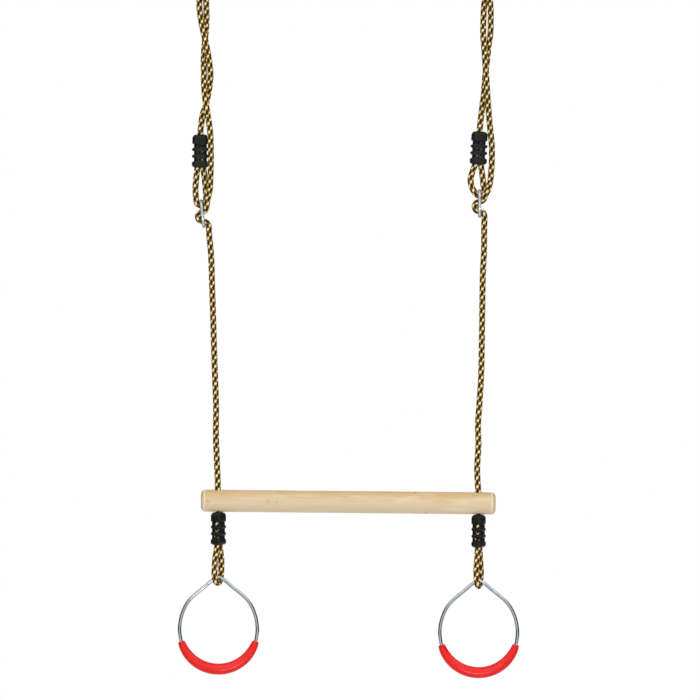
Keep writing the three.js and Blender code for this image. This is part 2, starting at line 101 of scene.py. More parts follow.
class Dab:
    """One value on a surface: sums with it add Math nodes to its finish."""

    def __init__(self, finish, socket):
        self.finish = finish
        self.socket = socket

    def math(self, operation, *others):
        return self.finish.math(operation, self, *others)

    def __add__(self, other):
        return self.math("ADD", other)

    def __radd__(self, other):
        return self.math("ADD", other)

    def __sub__(self, other):
        return self.math("SUBTRACT", other)

    def __rsub__(self, other):
        return self.finish.math("SUBTRACT", other, self)

    def __mul__(self, other):
        return self.math("MULTIPLY", other)

    def __rmul__(self, other):
        return self.math("MULTIPLY", other)

    def __truediv__(self, other):
        return self.math("DIVIDE", other)

    def __pow__(self, other):
        return self.math("POWER", other)

    def __abs__(self):
        return self.math("ABSOLUTE")

    def clamp(self):
        return self.math("MAXIMUM", 0.0).math("MINIMUM", 1.0)

    def from_whole(self):
        """The signed distance from the nearest whole number."""
        return self - (self + 0.5).math("FLOOR")


class Finish:
    """A procedural finish: its nodes, and the shader that they feed."""

    def __init__(self, holder, shader="Principled BSDF"):
        holder.use_nodes = True
        self.holder = holder
        self.tree = holder.node_tree
        self.shader = self.tree.nodes[shader]

    def put(self, socket, value):
        if isinstance(value, Dab):
            self.tree.links.new(value.socket, socket)
        else:
            socket.default_value = value

    def node(self, kind, settings=None, sockets=None):
        """Adds a node and gives its outputs, by number and by name."""
        made = self.tree.nodes.new(kind)
        for key, value in (settings or {}).items():
            setattr(made, key, value)
        for key, value in (sockets or {}).items():
            self.put(made.inputs[key], value)
        outputs = dict(enumerate(Dab(self, output) for output in made.outputs))
        outputs.update({output.name: Dab(self, output) for output in made.outputs if output.enabled})
        return outputs

    def math(self, operation, *values):
        return self.node("ShaderNodeMath", {"operation": operation}, dict(enumerate(values)))[0]

    def mix(self, share, low, high):
        """One colour turning to another."""
        return self.node("ShaderNodeMix", {"data_type": "RGBA"}, {0: share, 6: low, 7: high})[2]

    def step(self, value, start, end):
        """A soft step from 0 at the start to 1 at the end."""
        return self.node("ShaderNodeMapRange", {"interpolation_type": "SMOOTHSTEP"},
                         {"Value": value, 1: start, 2: end})[0]

    def split(self, vector):
        parts = self.node("ShaderNodeSeparateXYZ", {}, {"Vector": vector})
        return parts["X"], parts["Y"], parts["Z"]

    def place(self, stretch=(1.0, 1.0, 1.0)):
        """Places on the piece in metres, stretched along the axes."""
        where = self.node("ShaderNodeTexCoord")["Object"]
        return self.node("ShaderNodeVectorMath", {"operation": "MULTIPLY"}, {0: where, 1: stretch})[0]

    def noise(self, place, scale, detail=3.0, roughness=0.5):
        return self.node("ShaderNodeTexNoise", {}, {
            "Vector": place, "Scale": scale, "Detail": detail, "Roughness": roughness})["Fac"]

    def bump(self, height, distance):
        return self.node("ShaderNodeBump", {}, {"Height": height, "Distance": distance})["Normal"]

    def shade(self, **sockets):
        for name, value in sockets.items():
            self.put(self.shader.inputs[name.replace("_", " ")], value)
        return self.holder


camera_data = bpy.data.cameras.new("camera")
camera_data.sensor_width = SENSOR
camera_data.lens = SENSOR * VIEW_DISTANCE / VIEW_WIDTH
camera_data.clip_end = VIEW_END
camera = bpy.data.objects.new("camera", camera_data)
camera.location = (VIEW_CENTRE[0], -VIEW_DISTANCE, VIEW_CENTRE[1])
camera.rotation_euler = (math.pi / 2, 0, 0)
scene.collection.objects.link(camera)
scene.camera = camera
scene.view_settings.view_transform = "Standard"

scene.world = bpy.data.worlds.new("room")
room = Finish(scene.world, "Background")
sideways, behind, up = room.split(room.node("ShaderNodeTexCoord")["Generated"])
level = (sideways ** 2 + behind ** 2 + SLIVER).math("SQRT")
foot = room.step(up, *WALL_FOOT) * WALL_DIMMING + (1 - WALL_DIMMING)
glow = (room.step(behind / level * -1, *FRONT_SPREAD) * foot * ROOM_FRONT
        + room.step(behind, *BEHIND_SPREAD) * ROOM_BEHIND
        + room.step(up, *ABOVE_SPREAD) * ROOM_ABOVE + ROOM_DARK)
seen = room.node("ShaderNodeLightPath")["Is Camera Ray"]
room.shade(Color=room.mix(seen, glow, WHITE), Strength=1.0)

for name, (place, size, power, colour) in PANELS.items():
    panel_data = bpy.data.lights.new(name, "AREA")
    panel_data.size = size
    panel_data.energy = power
    panel_data.color = colour
    panel = bpy.data.objects.new(name, panel_data)
    panel.location = place
    aim = Vector((0, 0, VIEW_CENTRE[1])) - Vector(place)
    panel.rotation_euler = aim.to_track_quat("-Z", "Y").to_euler()
    scene.collection.objects.link(panel)

floor_mesh = bpy.data.meshes.new("floor")
corners = [(x * FLOOR_HALF, y * FLOOR_HALF, FLOOR_HEIGHT) for x, y in ((-1, -1), (1, -1), (1, 1), (-1, 1))]
floor_mesh.from_pydata(corners, [], [(0, 1, 2, 3)])
floor = bpy.data.objects.new("floor", floor_mesh)
floor_paint = Finish(bpy.data.materials.new("floor_paint"))
floor_mesh.materials.append(floor_paint.shade(Base_Color=FLOOR_COLOUR, Roughness=FLOOR_ROUGHNESS))
scene.collection.objects.link(floor)
floor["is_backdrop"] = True


# The two ropes: 10 mm, braided over a core from cream and brown polypropylene yarn. Each is one
# length: from its eye in the upper clamp up over the hanger ring, down through the adjuster and
# the bar into the lower clamp, and round the loop that carries a gym ring back into that clamp.
ROPE_DIAMETER = 10 * MM
ROPE_CORE = 4.85 * MM
LUMP_HEIGHT = 0.6 * MM
SKIN_STEP = 0.85 * MM
SKIN_POINTS = 36
TWIST_STEP = math.radians(12)
FACE_CORNERS = 4

# The braid, its lengths in millimetres: columns of lumps lie side by side round the rope and
# repeat along it at the pitch, and drift round it by a share of a column at each pitch
COLUMNS = 7
COLUMN_WIDTH = math.pi * (ROPE_DIAMETER / MM) / COLUMNS
COLUMN_DRIFT = 0.14
PITCH = 14.8
RISE_SHARE = 3 / COLUMNS
FALL_SHARE = 4 / COLUMNS
STRAND_ANGLE = math.radians(35)
CROSSING_ANGLE = math.radians(-27)
YARN_WIDTH = 0.62

# Each kind of lump: its place on the braid's rise and on its fall, its slant, half its length
# and half its width in millimetres, and how far it stands out
LUMPS = {
    "umber": (0.5, 0.0, CROSSING_ANGLE, 3.2, 1.5, 0.75),
    "olive": (0.0, 0.5, CROSSING_ANGLE, 2.1, 1.2, 0.7),
    "brown": (0.5, 0.5, STRAND_ANGLE, 3.0, 1.8, 0.8),
    "cream": (0.0, 0.0, STRAND_ANGLE, 3.15, 2.25, 1.0),
}

# The darker and the paler colour of each kind, between which a lump turns by its tint, its yarn and
# a painted highlight in its middle with painted shade towards its rim; the near-black painted shade in
# the crevices between them all; the yarn's relief, and how fine its tints and its fuzz are
LUMP_COLOURS = {
    "umber": ((0.032, 0.010, 0.002, 1.0), (0.33, 0.165, 0.030, 1.0)),
    "olive": ((0.055, 0.022, 0.004, 1.0), (0.42, 0.245, 0.050, 1.0)),
    "brown": ((0.012, 0.004, 0.001, 1.0), (0.055, 0.020, 0.004, 1.0)),
    "cream": ((0.60, 0.40, 0.105, 1.0), (1.0, 0.91, 0.50, 1.0)),
}
# Near-black painted shade for the crevices between the lumps
CREVICE_SHADE = (0.010, 0.004, 0.0012, 1.0)
YARN_RELIEF = 0.18 * MM
TINT_WAVES = 260.0
FUZZ_WAVES = 2600.0

# Routes in millimetres. A twist's stations are the x and z of the middle of the
# two strands, the turn of the sliding strand about it in degrees, and half their distance.
# The bar rope and the lower loop are measured from the foot, the middle of the lower clamp's
# top, and the threaded rope from the middle of the adjuster's top wire.
LEFT_ROUTES = {
    "twist": [
        (-242, -62.1, -450, 8.2), (-242, -67, -450, 8.1), (-241.3, -105.6, -360, 5.7),
        (-237.7, -157.4, -270, 5.6), (-233.8, -217.7, -180, 5.6), (-236, -269.4, -90, 5.6),
        (-237.6, -287.3, -40, 5.9),
    ],
    "top_bight": [
        (-242, -8.2, -61.7), (-242, -8.5, -50), (-242, -8.6, -41), (-242, -6.1, -34.9),
        (-242, 0, -32.4), (-242, 6.1, -34.9), (-242, 8.6, -41), (-242, 8.5, -50),
        (-242, 8.2, -61.7),
    ],
    "standing_strand": [
        (-244, 2.4, -303), (-245.4, 0.3, -315), (-245.5, 0, -320),
    ],
    "sliding_strand": [
        (-230.2, -9.5, -304), (-228.2, -13.8, -322), (-227.4, -14.4, -350),
        (-227.6, -13.6, -378), (-228.4, -11.4, -400), (-228.8, -9.8, -411),
        (-230.7, -9.6, -420.6),
    ],
    "threaded_rope": [
        (14.5, -9.6, 10.6), (12.9, -9.6, 5.4), (11.2, -10, 0.5), (9.8, -10, -4.4),
        (8.6, -9.4, -9), (7.6, -6.6, -13.8), (4.2, -3.4, -17.6), (0, -0.3, -19.3),
        (-5.8, 0, -21.7), (-8.2, 0, -27.5), (-5.8, 0, -33.3), (0, 0, -35.7), (6, 0, -38),
        (8.5, 0, -44), (8.1, 0, -57),
    ],
    "eye_loop": [
        (-245.5, 0, -320.5), (-245.5, 0, -322.5), (-248.1, -0.27, -329.5),
        (-250.67, -0.54, -336.5), (-250.67, -0.54, -376.5), (-252.3, -0.3, -392),
        (-253.9, 0, -411), (-253.4, 0, -424), (-252, 0, -435), (-249.8, 0, -438.8),
        (-244.2, 0, -441.2), (-238.4, 0, -438.8), (-236, 0, -432.9), (-236, 0.1, -424),
        (-236.6, 0.2, -412), (-238.4, 0.4, -394), (-240.33, 0.54, -376.5),
        (-240.33, 0.54, -337.8),
    ],
    "main_rope": [
        (-230.7, 0, -489.3), (-227.4, 0, -525), (-225.5, 0, -581), (-223, 0, -660),
        (-221, 0, -724), (-218.8, 0, -784), (-219.2, 0, -831), (-217.4, 0, -876),
        (-216.2, 0, -905), (-215.9, 0, -924),
    ],
    "bar_rope": [
        (-1, 0, 36.9), (-0.6, 0, 15.8), (0, 0, 0), (0, 0, -2), (-0.97, -2.41, -9),
        (-1.95, -4.82, -16), (-1.95, -4.82, -24.2),
    ],
    "lower_loop": [
        (-1.95, -4.82, -24.6), (-1.95, -4.82, -56), (-5.3, -7.6, -79), (-6.2, -10.2, -96.8),
        (-6.5, -10.7, -106.6), (-4.9, -8.5, -115.5), (-2.8, -4.5, -119.4), (-0.9, 0, -120.2),
        (1.1, 4.5, -119.2), (2.8, 8.5, -115.5), (4.2, 10.7, -106.6), (4.7, 10.2, -96.8),
        (4.6, 7.6, -79), (1.95, 4.82, -56), (1.95, 4.82, -17.3),
    ],
    "foot": (-214.9, 0, -961.335),
    "adjuster": (-244.2, 0, -432.9),
    "adjuster_lean": math.radians(-5.5),
}
RIGHT_ROUTES = {
    "twist": [
        (242, -62.1, -270, 8.2), (242, -67, -270, 8.1), (241.6, -92, -228, 6.4),
        (241.5, -114.1, -192, 6.2), (241, -144.6, -178, 6.3), (239.9, -170.1, -132, 5.8),
        (239.1, -212.6, -90, 5.6), (238.7, -253.3, -58, 5.6), (238.2, -272, -32, 5.8),
        (237.8, -294.1, -12, 7.3),
    ],
    "top_bight": [
        (242, 8.2, -61.7), (242, 8.5, -50), (242, 8.6, -41), (242, 6.1, -34.9), (242, 0, -32.4),
        (242, -6.1, -34.9), (242, -8.6, -41), (242, -8.5, -50), (242, -8.2, -61.7),
    ],
    "standing_strand": [
        (228.9, 0.3, -310), (228.7, 0, -314.8),
    ],
    "sliding_strand": [
        (246.9, 0, -315), (249.3, 0, -338), (249, 0, -374), (247.6, -1, -389),
        (247, -2.8, -399.1), (245.5, -4.8, -404.9),
    ],
    "threaded_rope": [
        (17, -4.9, 10.2), (15.4, -6.9, 4.5), (12.4, -9.2, -3), (8.9, -9.1, -9.4),
        (7.6, -6.6, -13.8), (4.2, -3.4, -17.6), (0, -0.3, -19.3), (-5.8, 0, -21.7),
        (-8.2, 0, -27.5), (-5.8, 0, -33.3), (0, 0, -35.7), (6, 0, -38), (8.5, 0, -44),
        (8.1, 0, -57),
    ],
    "eye_loop": [
        (228.7, 0, -315.3), (228.6, 0, -317.3), (225.7, -0.27, -324.3), (222.75, -0.54, -331.3),
        (220.9, -0.54, -370.8), (216.9, -0.3, -382), (213.3, 0, -396), (214.7, 0, -407),
        (219.2, 0, -417), (223.9, 0, -422.7), (228.4, 0, -423.8), (234.2, 0, -421.4),
        (236.6, 0, -415.5), (235, 0.1, -405), (233.6, 0.3, -392), (231.2, 0.54, -371.3),
        (233, 0.54, -332.8),
    ],
    "main_rope": [
        (236.5, 0, -472.9), (236, 0, -519.9), (234.3, 0, -550.5), (232.8, 0, -642),
        (231, 0, -734), (228.4, 0, -775), (225.9, 0, -815), (226.6, 0, -846),
        (224.4, 0, -886.7), (225.4, 0, -912), (226.4, 0, -926.9),
    ],
    "bar_rope": [
        (-0.4, 0, 38.2), (-0.1, 0, 15.8), (0, 0, -0.1), (0, 0, -2.1), (-0.8, -2.47, -9.1),
        (-1.61, -4.95, -16.1), (-1.61, -4.95, -24.3),
    ],
    "lower_loop": [
        (-1.61, -4.95, -24.7), (-1.61, -4.95, -56.1), (-2.8, -7, -79.6), (-4, -8.4, -95.8),
        (-3.4, -9, -109), (-1.9, -6.6, -118.8), (0.1, 0, -121.5), (2, 6.6, -118.8),
        (3.4, 9, -109), (4, 8.4, -95.8), (2.8, 7, -79.6), (1.61, 4.95, -56.1),
        (1.61, 4.95, -17.3),
    ],
    "foot": (226.9, 0, -965.576),
    "adjuster": (228.4, 0, -415.5),
    "adjuster_lean": 0.0,
}
ROUTES = {"left": LEFT_ROUTES, "right": RIGHT_ROUTES}

# The stretches in their order along the rope, from its lower end, and the body that each follows,
# or the two bodies that it runs between. Some routes are listed the other way.
STRETCHES = {
    "lower_loop": ("{}_foot", "{}_loop"),
    "bar_rope": ("{}_main", "{}_foot"),
    "main_rope": ("{}_adjusting", "{}_main"),
    "threaded_rope": ("{}_adjusting",),
    "sliding_strand": ("{}_strands", "{}_adjusting"),
    "top_bight": ("rope_tops", "{}_strands"),
    "standing_strand": ("{}_strands", "{}_adjusting"),
    "eye_loop": ("{}_adjusting",),
}
LISTED_BACKWARDS = ("lower_loop", "bar_rope", "main_rope", "threaded_rope", "sliding_strand")

# Where a stretch bends: from over to under the mouth of the lower clamp, under the upper end
# of the bar rope, and between two heights in the top bight
CLAMP_HEIGHT = 56 * MM
BEND_OVER = 6 * MM
BEND_UNDER = 14 * MM
BIGHT_BEND = (-45 * MM, -62 * MM)


def smooth_line(points, step, closed=False):
    """Centripetal curve through the points, in even steps."""
    points = np.asarray(points, float)
    if closed:
        control = np.vstack([points[-1:], points, points[:2]])
    else:
        control = np.vstack([2 * points[0] - points[1], points, 2 * points[-1] - points[-2]])
    line = []
    for p0, p1, p2, p3 in zip(control, control[1:], control[2:], control[3:]):
        gap0, gap1, gap2 = (math.sqrt(np.linalg.norm(b - a)) for a, b in ((p0, p1), (p1, p2), (p2, p3)))
        leave = ((p1 - p0) / gap0 - (p2 - p0) / (gap0 + gap1) + (p2 - p1) / gap1) * gap1
        arrive = ((p2 - p1) / gap1 - (p3 - p1) / (gap1 + gap2) + (p3 - p2) / gap2) * gap1
        count = max(2, math.ceil(gap1 * gap1 / step))
        t = (np.arange(count) / count)[:, None]
        line.append(p1 + leave * t + (3 * (p2 - p1) - 2 * leave - arrive) * t ** 2
                    + (2 * (p1 - p2) + leave + arrive) * t ** 3)
    if not closed:
        line.append(points[-1:])
    return np.vstack(line)


def carried_frames(line):
    """A normal and its cross at every point of a line, turned along it without twist."""
    tangents = np.gradient(line, axis=0)
    tangents /= np.linalg.norm(tangents, axis=1)[:, None]
    normal = np.cross(tangents[0], (0.0, 1.0, 0.0))
    normals = []
    for tangent in tangents:
        normal = normal - tangent * (normal @ tangent)
        normal = normal / np.linalg.norm(normal)
        normals.append(normal)
    normals = np.array(normals)
    return normals, np.cross(tangents, normals)


def full_turn(count):
    """Angles round a full turn, in even steps."""
    return 2 * math.pi * np.arange(count) / count


def sleeve_points(line, normals, crosses, reach):
    """Rings of points round a line, with the reach of every point of every ring."""
    turns = full_turn(reach.shape[1])
    outwards = (normals[:, None] * np.cos(turns)[None, :, None]
                + crosses[:, None] * np.sin(turns)[None, :, None])
    return (line[:, None] + outwards * reach[..., None]).reshape(-1, 3)


def sleeve_faces(rows, around, closed=False):
    """Faces of a skin of rings of points, with a cap at each open end."""
    row, side = np.meshgrid(np.arange(rows if closed else rows - 1), np.arange(around), indexing="ij")
    below = (row + 1) % rows
    beside = (side + 1) % around
    corners = (row * around + side, row * around + beside, below * around + beside, below * around + side)
    faces = np.stack([corner.ravel() for corner in corners], axis=1).tolist()
    if not closed:
        faces.append(list(range(around - 1, -1, -1)))
        faces.append(list(range((rows - 1) * around, rows * around)))
    return faces


def add_mesh(name, points, faces, material):
    """A smooth piece from its points and faces."""
    mesh = bpy.data.meshes.new(name)
    mesh.from_pydata([tuple(point) for point in points], [], [tuple(face) for face in faces])
    mesh.polygons.foreach_set("use_smooth", [True] * len(mesh.polygons))
    mesh.materials.append(material)
    mesh.update()
    piece = bpy.data.objects.new(name, mesh)
    scene.collection.objects.link(piece)
    return piece


def lump_axes(rise_off, fall_off, angle):
    """How far places lie along and across the nearest lump, in millimetres."""
    across = (rise_off - fall_off) * COLUMN_WIDTH
    down = (rise_off * FALL_SHARE + fall_off * RISE_SHARE) * PITCH
    along_lump = across * math.sin(angle) - down * math.cos(angle)
    across_lump = across * math.cos(angle) + down * math.sin(angle)
    return along_lump, across_lump


rope_yarn = Finish(bpy.data.materials.new("braided_yarn"))
column, pitch, _ = rope_yarn.split(rope_yarn.node("ShaderNodeUVMap", {"uv_map": "lay"})["UV"])
rise = pitch + column * RISE_SHARE
fall = pitch - column * FALL_SHARE
tint = rope_yarn.noise(rope_yarn.place(), TINT_WAVES, 2.0)
fuzz = rope_yarn.noise(rope_yarn.place(), FUZZ_WAVES, 2.0)
# The crevices between the lumps start as near-black painted shade
colour = CREVICE_SHADE
relief = 0.0
for kind, (rise_place, fall_place, angle, half_length, half_width, _) in LUMPS.items():
    along_lump, across_lump = lump_axes(
        (rise - rise_place).from_whole(), (fall - fall_place).from_whole(), angle)
    dome = 1.2 - tint * 0.4 - (along_lump / half_length) ** 2 - (across_lump / half_width) ** 2
    mask = (dome * 4.0).clamp()
    thread = (across_lump * (2 * math.pi / YARN_WIDTH)).math("SINE") * 0.5 + 0.5
    # Painted highlight and shade: each lump is paler in its middle and darker towards its rim, besides its
    # tint and yarn
    tone_and_dome_shade = ((tint - 0.45) * 1.6 + thread * 0.25 + dome * 0.75).clamp()
    colour = rope_yarn.mix(mask, colour, rope_yarn.mix(tone_and_dome_shade, *LUMP_COLOURS[kind]))
    relief = mask * (thread * 0.5 + fuzz * 0.8) + relief * (1 - mask)
rope_material = rope_yarn.shade(
    Base_Color=colour, Roughness=0.66 + fuzz * 0.25, Normal=rope_yarn.bump(relief, YARN_RELIEF),
    Sheen_Weight=0.03, Sheen_Roughness=0.4, Specular_IOR_Level=0.14)


def from_whole(values):
    """The signed distances of values from their nearest whole numbers."""
    return values - np.floor(values + 0.5)


def braid_relief(columns, pitches):
    """How far the braid stands out, from 0 in its crevices to 1 on the cream lumps."""
    highest = 0.0
    for rise_place, fall_place, angle, half_length, half_width, height in LUMPS.values():
        along_lump, across_lump = lump_axes(
            from_whole(pitches + columns * RISE_SHARE - rise_place),
            from_whole(pitches - columns * FALL_SHARE - fall_place), angle)
        dome = np.clip(1 - (along_lump / half_length) ** 2 - (across_lump / half_width) ** 2, 0, 1)
        highest = np.maximum(highest, height * np.sqrt(dome))
    return highest


def twisted_strand(stations, phase):
    """One strand of the twisted pair over the clamp, as a fine helix through the stations."""
    points = []
    later = stations[1:] + stations[-1:]
    for (x, z, turn, half), (next_x, next_z, next_turn, next_half) in zip(stations, later):
        sweep = math.radians(next_turn - turn)
        parts = max(1, math.ceil(sweep / TWIST_STEP))
        for part in range(parts):
            share = part / parts
            angle = math.radians(turn) + sweep * share + phase
            reach = half + (next_half - half) * share
            points.append((x + (next_x - x) * share + reach * math.cos(angle),
                           reach * math.sin(angle), z + (next_z - z) * share))
    return points


def rope_points(side):
    """Every stretch of one rope in metres, each as its route is listed."""
    routes = ROUTES[side]
    stretches = {name: np.array(routes[name], float) for name in ("top_bight", "eye_loop", "main_rope")}
    for name, phase in (("sliding_strand", 0.0), ("standing_strand", math.pi)):
        stretches[name] = np.array(twisted_strand(routes["twist"], phase) + routes[name], float)
    for name in ("bar_rope", "lower_loop"):
        stretches[name] = np.array(routes[name], float) + routes["foot"]
    lean = routes["adjuster_lean"]
    upright = np.array(routes["threaded_rope"], float)
    leaning = upright.copy()
    leaning[:, 0] = upright[:, 0] * math.cos(lean) + upright[:, 2] * math.sin(lean)
    leaning[:, 2] = upright[:, 2] * math.cos(lean) - upright[:, 0] * math.sin(lean)
    stretches["threaded_rope"] = leaning + routes["adjuster"]
    return {name: points * MM for name, points in stretches.items()}


def whole_line(stretches):
    """The centre line of one rope from end to end, and the rows of it where stretches meet."""
    runs = [stretches[name][::-1] if name in LISTED_BACKWARDS else stretches[name] for name in STRETCHES]
    ends = [(before[-1] + after[0]) / 2 for before, after in zip(runs, runs[1:])] + [runs[-1][-1]]
    chain = [runs[0][:1]]
    marks = [0]
    for run, end in zip(runs, ends):
        chain += [run[1:-1], end[None]]
        marks.append(sum(len(part) for part in chain) - 1)
    chain = np.vstack(chain)
    line = smooth_line(chain, SKIN_STEP)
    return line, [int(np.argmin(np.linalg.norm(line - chain[mark], axis=1))) for mark in marks]


def add_lay(rope, pitches):
    """Notes the lay of the braid on a rope's faces: columns round it and pitches along it."""
    corners = np.array([loop.vertex_index for loop in rope.data.loops])
    rows, places = corners // SKIN_POINTS, corners % SKIN_POINTS
    skin_corners = (len(pitches) - 1) * SKIN_POINTS * FACE_CORNERS
    closing_face = np.arange(skin_corners) // FACE_CORNERS % SKIN_POINTS == SKIN_POINTS - 1
    wrapped = np.zeros(len(corners))
    wrapped[:skin_corners] = closing_face & (places[:skin_corners] == 0)
    lay = np.zeros((len(corners), 2))
    lay[:, 0] = -COLUMNS * (places / SKIN_POINTS + wrapped) + COLUMN_DRIFT * pitches[rows, 0]
    lay[:, 1] = pitches[rows, 0]
    rope.data.uv_layers.new(name="lay").data.foreach_set("uv", lay.astype(np.float32).ravel())


def bend_span(side, name, ends):
    """Where a stretch starts to leave its first body, and from where it follows the second."""
    top, foot = sorted(ends, key=lambda point: -point[2])
    if name == "lower_loop":
        mouth = Vector(ROUTES[side]["foot"]) * MM - Vector((0, 0, CLAMP_HEIGHT))
        return mouth + Vector((0, 0, BEND_OVER)), mouth - Vector((0, 0, BEND_UNDER))
    if name == "bar_rope":
        return Vector(top), Vector(top) - Vector((0, 0, BEND_UNDER))
    heights = BIGHT_BEND if name == "top_bight" else (top[2], foot[2])
    return Vector((0, 0, heights[0])), Vector((0, 0, heights[1]))


for side in ROUTES:
    line, cuts = whole_line(rope_points(side))
    steps = np.linalg.norm(np.diff(line, axis=0), axis=1)
    run_length = np.concatenate([[0.0], np.cumsum(steps)])
    normals, crosses = carried_frames(line)
    turns = np.arange(SKIN_POINTS) / SKIN_POINTS
    for name, start, end in zip(STRETCHES, cuts, cuts[1:]):
        part = slice(start, end + 1)
        centre = line[part]
        pitches = run_length[part, None] / (PITCH * MM)
        columns = -COLUMNS * turns + COLUMN_DRIFT * pitches
        reach = ROPE_CORE + LUMP_HEIGHT * braid_relief(columns, pitches)
        points = sleeve_points(centre, normals[part], crosses[part], reach)
        faces = sleeve_faces(len(centre), SKIN_POINTS)
        rope = add_mesh(f"{side}_{name}_braid", points, faces, rope_material)
        add_lay(rope, pitches)
        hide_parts(f"{side}_{name}")
        follows = [body.format(side) for body in STRETCHES[name]]
        if len(follows) == 1:
            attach(rope, follows[0])
        else:
            start_point, end_point = bend_span(side, name, (centre[0], centre[-1]))
            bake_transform(rope)


# The two hanger rings: 6 mm steel wire bent round, butt welded at one side and hot-dip
# galvanised. They bear on the swing's hooks and are rubbed bright there and under the rope.
HANGER_SPREAD = 484 * MM
HANGER_INNER = 38 * MM
HANGER_WIRE = 6 * MM
HANGER_STEPS = 120
HANGER_RUB_SHARES = (0.6, 0.95)
WIRE_POINTS = 24
WELD_TURN = math.radians(196)
WELD_HALF = math.radians(5)
WELD_HEIGHT = 0.25 * MM
WELD_RIPPLE = 0.3
WELD_WAVES = 140
ZINC_DARK = (0.32, 0.35, 0.38, 1.0)
ZINC_PALE = (0.74, 0.79, 0.85, 1.0)
ZINC_RUBBED = (0.86, 0.89, 0.92, 1.0)
ZINC_RELIEF = 0.06 * MM


def galvanised(name, rub):
    """Zinc finish with spangle, cloudy patches and grain, and bright places that the rub picks."""
    zinc = Finish(bpy.data.materials.new(name))
    cells = zinc.node("ShaderNodeTexVoronoi", {}, {"Vector": zinc.place(), "Scale": 520.0})
    spangle, _, _ = zinc.split(cells["Color"])
    cloud = zinc.noise(zinc.place(), 240.0, 4.0, 0.6)
    grain = zinc.noise(zinc.place(), 3800.0, 3.0)
    stain = zinc.step(zinc.noise(zinc.place((1.0, 1.0, 0.35)), 150.0, 4.0, 0.7), 0.55, 0.8)
    bright = (rub(zinc) * (cloud + 0.6)).clamp()
    tone = (spangle * 0.35 + cloud * 0.9 - 0.1 - stain * 0.4).clamp()
    colour = zinc.mix(bright, zinc.mix(tone, ZINC_DARK, ZINC_PALE), ZINC_RUBBED)
    return zinc.shade(
        Base_Color=colour, Metallic=0.94 + bright * 0.06, Roughness=0.38 + cloud * 0.2 - bright * 0.24,
        Normal=zinc.bump(cloud * 0.6 + grain * 0.25 + spangle * 0.1, ZINC_RELIEF))


def wire_points(line, plane_normal, reach):
    """Rings of points round a wire that is bent to a closed loop in one plane."""
    tangents = np.roll(line, -1, axis=0) - np.roll(line, 1, axis=0)
    tangents /= np.linalg.norm(tangents, axis=1)[:, None]
    crosses = np.ones((len(line), 1)) * np.array(plane_normal)
    return sleeve_points(line, np.cross(crosses, tangents), crosses, reach[:, None] * np.ones(WIRE_POINTS))


def hanger_rub(zinc):
    """Bright where the hook bears above and the rope below, on the inside of the wire."""
    across, _, up = zinc.split(zinc.place())
    distance = (across ** 2 + up ** 2).math("SQRT")
    inside = 1 - zinc.step(distance, HANGER_INNER / 2, HANGER_INNER / 2 + HANGER_WIRE / 2)
    start, end = (share * HANGER_INNER / 2 for share in HANGER_RUB_SHARES)
    return inside * zinc.step(abs(up), start, end)


hanger_zinc = galvanised("hanger_zinc", hanger_rub)
for side, sign in (("left", -1), ("right", 1)):
    turns = full_turn(HANGER_STEPS)
    reach = (HANGER_INNER + HANGER_WIRE) / 2
    line = np.stack([reach * np.cos(turns), 0 * turns, reach * np.sin(turns)], axis=1)
    weld = np.exp(-((turns - WELD_TURN) / WELD_HALF) ** 2)
    ripple = 1 + WELD_RIPPLE * np.sin(turns * WELD_WAVES)
    points = wire_points(line, (0.0, 1.0, 0.0), HANGER_WIRE / 2 + WELD_HEIGHT * weld * ripple)
    faces = sleeve_faces(len(line), WIRE_POINTS, closed=True)
    ring = add_mesh(f"{side}_hanger_hoop", points, faces, hanger_zinc)
    ring.location = (sign * HANGER_SPREAD / 2, 0, -HANGER_INNER / 2)
    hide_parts(f"{side}_hanger_ring")
    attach(ring, "mounting")


# The four clamps: black glass-filled nylon, moulded in one with a domed cap, two ribs and a
# flange. The rope crosses from the middle of the cap to one bore, and its end sits in the other.
CLAMP_CORNER = 6 * MM
CAP_HEIGHT = 16 * MM
CAP_SIZE = (27 * MM, 20.6 * MM)
DOME_HEIGHT = 7 * MM
DOME_INSET = 5.5 * MM
NECK_SIZE = (21.6 * MM, 18.8 * MM)
RIB_SIZE = (28.6 * MM, 20.4 * MM)
RIB_NOSE = 3.1 * MM
RIB_FACE_NOSE = 1.75 * MM
RIB_PITCH = 11.5 * MM
FIRST_RIB_DEPTH = 25.3 * MM
FOOT_INSET = 5 * MM
EDGE = 0.7 * MM
BORE_SPREAD = 10.4 * MM
BORE_RADIUS = 5.35 * MM
BORE_FLARE = 0.9 * MM
BLIND_DEPTH = 16.8 * MM
CROSSOVER = (2 * MM, 16 * MM)
WINDOW_SIZE = (3 * MM, 4.5 * MM)
WINDOW_CORNER = 0.8 * MM
WINDOW_SPREAD = 5.6 * MM
OVERRUN = 2 * MM
SHARP = math.radians(38)
NYLON_DARK = (0.003, 0.003, 0.003, 1.0)
NYLON_PALE = (0.009, 0.009, 0.009, 1.0)
NYLON_SCUFF = (0.055, 0.055, 0.055, 1.0)
NYLON_RELIEF = 0.09 * MM
NYLON_PARTING = (0.08 * MM, 0.28 * MM)

# A clamp's three swells, the two ribs and the upper half of the flange, and how finely each
# curve is drawn
SWELLS = 3
SWELL_STEPS = 12
DOME_STEPS = 8
EDGE_STEPS = 4
FOOT_STEPS = 8
CORNER_STEPS = 8
WINDOW_STEPS = 3
BORE_POINTS = 32

# Each clamp: the middle of its top in millimetres, its turn about the upright and its lean to
# the side in degrees, and the body that it rides on
CLAMPS = {
    "left_upper_clamp": ((-245.5, 0, -320.5), 6, 0, "left_adjusting"),
    "right_upper_clamp": ((228.7, 0, -315.3), 6, 2.8, "right_adjusting"),
    "left_lower_clamp": (ROUTES["left"]["foot"], 68, 0, "left_foot"),
    "right_lower_clamp": (ROUTES["right"]["foot"], 72, 0, "right_foot"),
}

